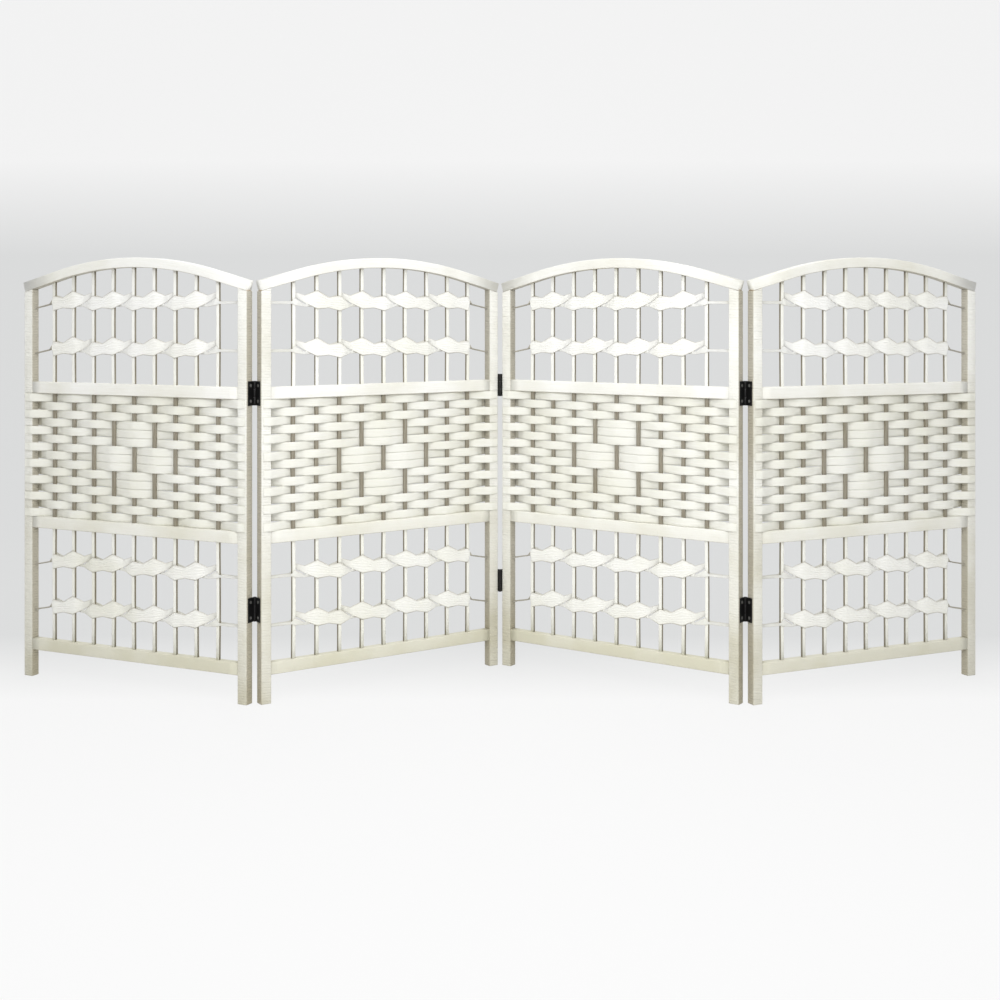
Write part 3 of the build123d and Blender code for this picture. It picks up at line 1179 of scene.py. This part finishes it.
@dataclass
class WovenField(Assembly):
    """Fifteen paper strips woven over and under the sticks, with a diamond of floats."""

    tree: GeometryTree
    float_rows_apart: int = 3
    float_steps: int = 2
    spread: float = 0.0003
    cover: float = 1.06
    fullness: float = 1.1
    flatness: float = 0.3
    step: float = 0.0032
    sides: int = 12
    unevenness: float = 0.0006
    drawn_in: float = 0.97
    on_post: float = 0.55
    turn_reach: float = 0.007
    turn_shade: float = 0.5

    def passes_behind(self, row: int, stick: int) -> bool:
        """Whether a strip passes behind a stick.

        Args:
            row: the strip's number from the top, from one.
            stick: the stick's number, where zero and the last are the posts.

        Returns:
            True if it passes behind.
        """
        plain = (row + stick) % 2 == 0
        step, between = divmod(abs(row - (SIZES.weave_rows + 1) / 2), self.float_rows_apart)
        floating = between == 0 and step < self.float_steps
        near = abs(stick - (SIZES.stick_count + 1) / 2) <= self.float_steps - step
        return plain != (floating and near)

    def run_of(self, row: int, chance: random.Random) -> Run:
        """Points of one strip's middle line.

        Args:
            row: the strip's number from the top.
            chance: the source of its small unevenness.

        Returns:
            Place, depth, level and half height of each point.
        """
        rows_below = SIZES.weave_rows - row
        level = SIZES.weave_level + SIZES.row_gap + SIZES.strip_height / 2
        level += rows_below * (SIZES.strip_height + SIZES.row_gap)
        half = SIZES.strip_height / 2 * self.cover
        laid = SIZES.lay_clearance + SIZES.strip_thickness / 2
        reach = SIZES.stick_depth / 2 + SIZES.lay_clearance + SIZES.strip_thickness * 0.75
        sides = [
            1 if self.passes_behind(row, stick) else -1
            for stick in range(SIZES.stick_count + 2)
        ]
        ends = []
        for side in (sides[0], sides[-1]):
            depth = side * (SIZES.post_depth / 2 + laid)
            ends.append(
                [
                    (SIZES.strip_end_inset, depth, level, half * self.drawn_in),
                    (SIZES.post_width * self.on_post, depth, level, half),
                    (SIZES.post_width + SIZES.lay_clearance, depth, level, half),
                ]
            )
        run = ends[0]
        for side, place in zip(sides[1:], SIZES.stick_places):
            drift = chance.uniform(-self.spread, self.spread)
            width = half * (1.0 if side < 0 else self.drawn_in)
            run.append((place, side * reach, level + drift, width))
        length = SIZES.panel_width
        return run + [(length - place, *rest) for place, *rest in reversed(ends[1])]

    def build(self) -> None:
        """Weaves the strips."""
        chance = random.Random(20 + self.panel.number)
        runs = [self.run_of(row, chance) for row in range(1, SIZES.weave_rows + 1)]
        mesh = self.tree.run(
            guide_mesh(runs, "strips"),
            "woven strips",
            Thickness=SIZES.strip_thickness * self.fullness,
            Flatness=self.flatness,
            Step=self.step,
            Sides=self.sides,
            Unevenness=self.unevenness,
            Seed=float(self.panel.number),
            Material=self.finishes.woven,
        )
        finish, nodes, bare = self.finishes.woven, ("woven_strips",), self.painted_turn_shade
        self.piece(face_outwards(mesh), "woven_field", finish, Slot.WOVEN_PAPER, nodes, bare)

    def painted_turn_shade(self, middle: Vector, _normal: Vector) -> float:
        """Painted shade on a strip's face: its turns beside and behind the posts are painted
        darker.

        Args:
            middle: the face's middle.

        Returns:
            0 where there is no painted shade, and more where the face is painted darker.
        """
        from_end = min(middle.x, SIZES.panel_width - middle.x)
        turns = middle.y > -SIZES.post_depth * 0.3 and from_end < SIZES.post_width + self.turn_reach
        return self.turn_shade if turns else 0.0


@dataclass
class TwinedRibbons(Assembly):
    """The twined ribbons of one open section, two to each band."""

    tree: GeometryTree
    section: Section
    front_first: tuple[float, float] = (-0.0165, 0.0085)
    front_middle: tuple[float, float] = (-0.0115, 0.006)
    front_second: tuple[float, float] = (-0.0135, 0.017)
    leaving: tuple[float, float] = (-0.0034, 0.0088)
    tucking: tuple[float, float] = (0.0065, 0.0145)
    back_first: tuple[float, float] = (0.002, 0.0105)
    back_middle: tuple[float, float] = (-0.007, 0.004)
    back_second: tuple[float, float] = (-0.009, 0.007)
    entering: tuple[float, float] = (-0.0095, -0.0052)
    lone: tuple[float, float] = (-0.007, 0.005)
    tuck_distance: float = 0.0034
    cord_top: tuple[float, float] = (-0.003, 0.0015)
    cord_bend: tuple[float, float] = (-0.0066, -0.0046)
    cord_end: tuple[float, float] = (-0.0132, -0.011)
    level_end: tuple[float, float] = (-0.0052, -0.0008)
    cord_reach: float = 0.009
    end_spread: float = 0.0012
    end_gap: float = 0.0002
    path_steps: int = 7
    fullness: float = 1.4
    step: float = 0.0024
    sides: int = 16
    unevenness: float = 0.0008
    cord_shade: float = 0.8

    def controls(self, partner: int) -> list[tuple[float, float, tuple[float, float]]]:
        """Places where a ribbon's outline turns, with its depth and its span there.

        Args:
            partner: which of the band's two ribbons it is.

        Returns:
            Place, depth and lowest and highest point against the band's level.
        """
        reach = SIZES.stick_depth / 2 + SIZES.lay_clearance + SIZES.ribbon_thickness
        first = SIZES.post_width + self.end_gap
        side = 1 if partner else -1
        stick_one = SIZES.stick_places[0]
        turns = [
            (first, side * self.end_spread, self.cord_end),
            (stick_one - self.cord_reach, side * reach * 0.6, self.cord_bend),
            (stick_one - self.tuck_distance, side * reach, self.cord_top),
        ]
        half_gap = SIZES.stick_pitch / 2
        last_stick = SIZES.stick_count - 1
        for stick, place in enumerate(SIZES.stick_places):
            in_front = (stick // 2 + partner) % 2 == 0
            depth = -reach if in_front else reach
            if stick % 2 == 1:
                turns.append((place, depth, self.front_second if in_front else self.back_second))
                continue
            if stick > 0:
                span = self.entering if in_front else self.leaving
                turns.append((place - half_gap, depth * 0.1, span))
            if stick > 0 and not in_front:
                turns.append((place - self.tuck_distance, depth * 0.9, self.tucking))
            if stick == last_stick:
                turns.append((place, depth, self.lone))
                continue
            turns.append((place, depth, self.front_first if in_front else self.back_first))
            middle = self.front_middle if in_front else self.back_middle
            turns.append((place + half_gap, depth, middle))
        side = 1 if turns[-1][1] > 0 else -1
        place, depth = turns[-1][:2]
        turns.append((place + self.tuck_distance, depth, self.level_end))
        turns.append((SIZES.panel_width - first, side * self.end_spread, self.level_end))
        return turns

    def run_of(self, level: float, partner: int) -> Run:
        """Points of one ribbon's middle line, with straight edges from turn to turn.

        Args:
            level: the middle of its band.
            partner: which of the band's two ribbons it is.

        Returns:
            Place, depth, level and half height of each point.
        """
        turns, run = self.controls(partner), []
        for before, after in zip(turns, turns[1:]):
            steps = self.path_steps + (after is turns[-1])
            for step in range(steps):
                share = step / self.path_steps
                eased = share * share * (3 - 2 * share)
                place = before[0] + (after[0] - before[0]) * share
                depth = before[1] + (after[1] - before[1]) * eased
                low, high = (
                    start + (end - start) * share for start, end in zip(before[2], after[2])
                )
                middle = level + (low + high) / 2
                run.append((self.mirrored(place), depth, middle, (high - low) / 2))
        return run

    def build(self) -> None:
        """Twines the ribbons of the section."""
        rail_top = SIZES.upper_crossrail_top
        if self.section is Section.LOWER:
            rail_top = SIZES.foot_height + SIZES.rail_height
        runs = []
        for band in range(SIZES.band_count):
            level = rail_top + SIZES.band_height + band * SIZES.band_spacing
            runs += [self.run_of(level, partner) for partner in range(2)]
        mesh = self.tree.run(
            guide_mesh(runs, "ribbons"),
            "twined ribbons",
            Thickness=SIZES.ribbon_thickness * self.fullness,
            Step=self.step,
            Sides=self.sides,
            Unevenness=self.unevenness,
            Seed=7.0 + self.panel.number,
            Material=self.finishes.ribbon,
        )
        name, nodes = f"{self.section.value}_twine", (self.section.value,)
        finish, bare = self.finishes.ribbon, self.painted_cord_shade
        self.piece(face_outwards(mesh), name, finish, Slot.RIBBON_PAPER, nodes, bare)

    def painted_cord_shade(self, middle: Vector, _normal: Vector) -> float:
        """Painted shade on a ribbon's face: only the cord at its low end is painted darker."""
        cord = SIZES.stick_places[0] - self.tuck_distance
        return self.cord_shade if self.mirrored(middle.x) < cord else 0.0


@dataclass
class Hinges(Assembly):
    """Hinge leaves on the panel's post ends, with round knuckles and screw heads."""

    tree: GeometryTree
    leaf_edge: float = 0.0004
    screw_spread: float = 0.024
    screw_radius: float = 0.0026
    knuckle_sides: int = 32
    knuckle_edge: float = 0.0003

    def sides(self) -> list[tuple[int, int, bool]]:
        """The panel's hinged ends.

        Returns:
            For each end, 1 or -1 for outward, the same for backward, and whether it has the
            outer knuckles.
        """
        right_back, left_back = (1, 1, True), (-1, 1, False)
        right_front, left_front = (1, -1, True), (-1, -1, False)
        return {
            1: [right_back],
            2: [left_back, right_front],
            3: [left_front, right_back],
            4: [left_back],
        }[self.panel.number]

    def leaf(self, face: float, outward: int, backward: int, centre: float) -> bpy.types.Mesh:
        """One flat leaf with softened edges.

        Args:
            face: place of the post's end face.
            outward: 1 at the panel's right end, -1 at its left.
            backward: 1 where the knuckles lie behind, -1 where in front.
            centre: the hinge's middle height.

        Returns:
            The leaf's mesh.
        """
        depth = SIZES.leaf_width + SIZES.pin_setback - SIZES.knuckle_radius * 0.6
        middle = backward * (SIZES.post_depth / 2 - SIZES.leaf_width + depth / 2)
        size = (SIZES.leaf_thickness, depth, SIZES.hinge_height)
        work = bmesh.new()
        bmesh.ops.create_cube(work, size=1)
        bmesh.ops.scale(work, vec=size, verts=work.verts)
        edges, offset = work.edges[:], self.leaf_edge
        bmesh.ops.bevel(
            work, geom=edges, offset=offset, segments=2, affect="EDGES", profile=0.5
        )
        place = face + outward * SIZES.leaf_thickness / 2
        bmesh.ops.translate(work, vec=(place, middle, centre), verts=work.verts)
        mesh = bpy.data.meshes.new("leaf")
        work.to_mesh(mesh)
        work.free()
        return mesh

    def knuckle(self, place: float, depth: float, low: float, high: float) -> bpy.types.Mesh:
        """A round knuckle with softened ends.

        Args:
            place: its axis along the panel.
            depth: its axis from front to back.
            low: its lower end.
            high: its upper end.

        Returns:
            The knuckle's mesh.
        """
        edge, points, count = self.knuckle_edge, [], self.knuckle_sides
        softened = ((0.0, edge), (edge * 0.3, edge * 0.3), (edge, 0.0))
        rings = [(low + inset, drawn) for inset, drawn in softened]
        rings += [(high - inset, drawn) for inset, drawn in reversed(softened)]
        for level, drawn in rings:
            size = SIZES.knuckle_radius - drawn
            for step in range(count):
                angle = 2 * math.pi * step / count
                across, back = size * math.cos(angle), size * math.sin(angle)
                points.append((place + across, depth + back, level))
        mesh = bpy.data.meshes.new("knuckle")
        mesh.from_pydata(points, [], tube_faces(len(rings), count))
        mesh.shade_smooth()
        return mesh

    def build(self) -> None:
        """Makes the panel's leaves, knuckles and screw heads."""
        steel, heads = [], []
        length = (SIZES.hinge_height - 2 * SIZES.knuckle_gap) / 3
        step = length + SIZES.knuckle_gap
        for outward, backward, outer in self.sides():
            face = SIZES.panel_width if outward > 0 else 0.0
            place = face + outward * SIZES.fold_gap / 2
            depth = backward * (SIZES.post_depth / 2 + SIZES.pin_setback)
            screws = []
            for centre in SIZES.hinge_levels:
                base = centre - SIZES.hinge_height / 2
                steel.append(self.leaf(face, outward, backward, centre))
                for index in (0, 2) if outer else (1,):
                    low = base + index * step
                    steel.append(self.knuckle(place, depth, low, low + length))
                out = face + outward * SIZES.leaf_thickness
                across = backward * (SIZES.post_depth - SIZES.leaf_width) / 2
                for reach in (-self.screw_spread / 2, self.screw_spread / 2):
                    screws.append((out, across, centre + reach))
            guide = bpy.data.meshes.new("screw places")
            guide.from_pydata(screws, [], [])
            heads.append(
                self.tree.run(
                    guide,
                    "screw heads",
                    Radius=self.screw_radius,
                    Facing=(float(outward), 0.0, 0.0),
                    Seed=self.panel.number,
                    Material=self.finishes.screw,
                )
            )
        steel, heads = joined(steel, "hinge steel"), joined(heads, "screws")
        finish, slot = self.finishes.steel, Slot.BLACK_STEEL
        self.piece(steel, "hinge_steel", finish, slot, ("hinge_leaves",))
        self.piece(heads, "hinge_screw_heads", self.finishes.screw, slot)


@dataclass
class FoldPins:
    """The hinge pins of one fold, kept from the frame and finished as black steel."""

    number: int
    finishes: Finishes

    def build(self, nodes: dict[str, bpy.types.Object]) -> None:
        """Dresses the pins, which are among the frame's nodes."""
        dress(nodes[f"fold_{self.number}_pins"], self.finishes.steel)


def dress(node: bpy.types.Object, material: bpy.types.Material) -> None:
    """Gives a kept node of the frame its finish in place of its plain colour.

    Args:
        node: the node's object.
        material: its finish.
    """
    for slot in node.material_slots:
        slot.material = material
    if not node.material_slots:
        node.data.materials.append(material)


def background_rays(nodes: Nodes) -> Socket:
    """Tells the rays that see or mirror the background from those that light the screen.

    Args:
        nodes: the nodes of the background's own material or of the world.

    Returns:
        A value of 1 for the rays that see or mirror it, and 0 for the others.
    """
    paths = nodes.node("ShaderNodeLightPath").outputs
    seen = nodes.math("MAXIMUM", paths["Is Camera Ray"], paths["Is Glossy Ray"])
    return nodes.math("MAXIMUM", seen, paths["Is Transmission Ray"])


@dataclass(frozen=True)
class Softbox:
    """A square lamp that faces the screen."""

    name: str
    place: tuple[float, float, float]
    size: float
    power: float

    def build(self, target: Vector) -> None:
        """Places the lamp and turns it to a target.

        Args:
            target: the spot that it faces.
        """
        lamp = bpy.data.lights.new(self.name, "AREA")
        lamp.size, lamp.energy = self.size, self.power
        item = placed(self.name, lamp)
        item.location = self.place
        item.rotation_euler = (target - item.location).to_track_quat("-Z", "Y").to_euler()


@dataclass
class Studio:
    """Plain floor and backdrop, soft lamps and the photograph's camera."""

    camera_distance: float = 2.4
    camera_height: float = 0.6135
    horizon_row: float = 307.0
    focal_pixels: float = 1471.0
    picture_pixels: float = 1000.0
    sensor_width: float = 36.0
    sky_light: float = 0.42
    seen_sky: float = 0.9
    backdrop_white: float = 0.93
    backdrop_shade_grey: float = 0.73
    backdrop_glow: float = 0.9
    floor_front: float = -4.0
    floor_drop: float = 0.0002
    bend: float = 1.2
    bend_steps: int = 12
    wall_back: float = 3.0
    wall_top: float = 5.0
    half_width: float = 9.0
    softboxes: tuple[Softbox, ...] = (
        Softbox("left softbox", (-0.45, -1.5, 1.2), 0.9, 9.3),
        Softbox("right softbox", (0.45, -1.5, 1.2), 0.9, 9.3),
        Softbox("overhead softbox", (0.0, -0.3, 2.6), 2.2, 25.0),
        Softbox("rear softbox", (0.0, 1.7, 2.7), 1.4, 13.0),
    )

    def build(self) -> None:
        """Builds the studio."""
        self.backdrop()
        self.lamps()
        self.camera()

    def backdrop(self) -> None:
        """A floor that curves up into a wall behind the screen."""
        profile = [(self.floor_front, 0.0)]
        for step in range(self.bend_steps + 1):
            angle = step / self.bend_steps * math.pi / 2
            back = self.wall_back - self.bend + self.bend * math.sin(angle)
            profile.append((back, self.bend - self.bend * math.cos(angle)))
        profile.append((self.wall_back, self.wall_top))
        points, half = [], self.half_width
        for y, z in profile:
            points += [(side, y, z - self.floor_drop) for side in (-half, half)]
        faces = [(a, a + 1, a + 3, a + 2) for a in range(0, len(points) - 2, 2)]
        mesh = bpy.data.meshes.new("backdrop")
        mesh.from_pydata(points, [], faces)
        mesh.shade_smooth()
        mesh.materials.append(self.backdrop_material())
        placed("floor", mesh)

    def backdrop_material(self) -> bpy.types.Material:
        """Makes the backdrop's material: painted grey shade behind the screen, white above and on
        the floor.

        Returns:
            A matt material that glows in what is seen of it, but hardly lights the screen.
        """
        material, nodes, surface = new_material("pale paper backdrop")
        spot = nodes.parts(nodes.node("ShaderNodeTexCoord").outputs["Object"])
        # Painted shade: the backdrop turns grey behind the screen and stays white above and in
        # front.
        shade = nodes.times(nodes.ramp(spot[2], 1.15, 0.8), nodes.ramp(spot[1], -0.1, 0.35))
        white, grey = self.backdrop_white, self.backdrop_shade_grey
        tone = nodes.mix(shade, (white, white, white, 1), (grey, grey * 1.01, grey * 1.01, 1))
        nodes.fill(surface, {"Base Color": tone, "Roughness": 0.9})
        blend = {
            0: nodes.times(background_rays(nodes), self.backdrop_glow),
            1: surface.outputs[0],
            2: nodes.first("ShaderNodeEmission", {"Color": tone}),
        }
        finished = nodes.first("ShaderNodeMixShader", blend)
        nodes.fill(nodes.tree.nodes["Material Output"], {"Surface": finished})
        return material

    def lamps(self) -> None:
        """Softboxes in front, above and behind, and a soft even light from all sides."""
        for softbox in self.softboxes:
            softbox.build(Vector((0, 0, 0.4)))
        world = bpy.data.worlds.new("studio")
        world.use_nodes = True
        nodes, sky = Nodes(world.node_tree), world.node_tree.nodes["Background"]
        extra = nodes.times(background_rays(nodes), self.seen_sky - self.sky_light)
        strength = nodes.plus(extra, self.sky_light)
        nodes.fill(sky, {"Color": (1, 1, 1, 1), "Strength": strength})
        bpy.context.scene.world = world

    def camera(self) -> None:
        """A level camera, shifted so that the picture's frame falls as in the photograph."""
        camera = bpy.data.cameras.new("camera")
        camera.sensor_width = self.sensor_width
        camera.lens = self.focal_pixels / self.picture_pixels * self.sensor_width
        camera.shift_y = (self.horizon_row - self.picture_pixels / 2) / self.picture_pixels
        item = placed("camera", camera)
        item.location = (0, -self.camera_distance, self.camera_height)
        item.rotation_euler = (math.pi / 2, 0, 0)
        bpy.context.scene.camera = item
        bpy.context.scene.view_settings.view_transform = "Standard"


def main() -> None:
    """Builds the screen and the studio, and writes how large the model is."""
    logging.basicConfig(level=logging.INFO, format="%(message)s")
    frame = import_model()
    finishes = Finishes()
    bands, windings, screws = band_tree(), winding_tree(), screw_tree()
    for number in range(1, 5):
        panel = PanelFrame.from_posts(number)
        WoundPosts(panel, finishes, windings).build()
        Rails(panel, finishes).build()
        Sticks(panel, finishes).build()
        WovenField(panel, finishes, bands).build()
        for section in Section:
            TwinedRibbons(panel, finishes, bands, section).build()
        Hinges(panel, finishes, screws).build()
        for side in ("left", "right"):
            dress(frame["nodes"][f"{panel.body}_{side}_post_core"], finishes.timber)
    for number in range(1, 4):
        FoldPins(number, finishes).build(frame["nodes"])
    Studio().build()


if __name__ == "__main__":
    main()
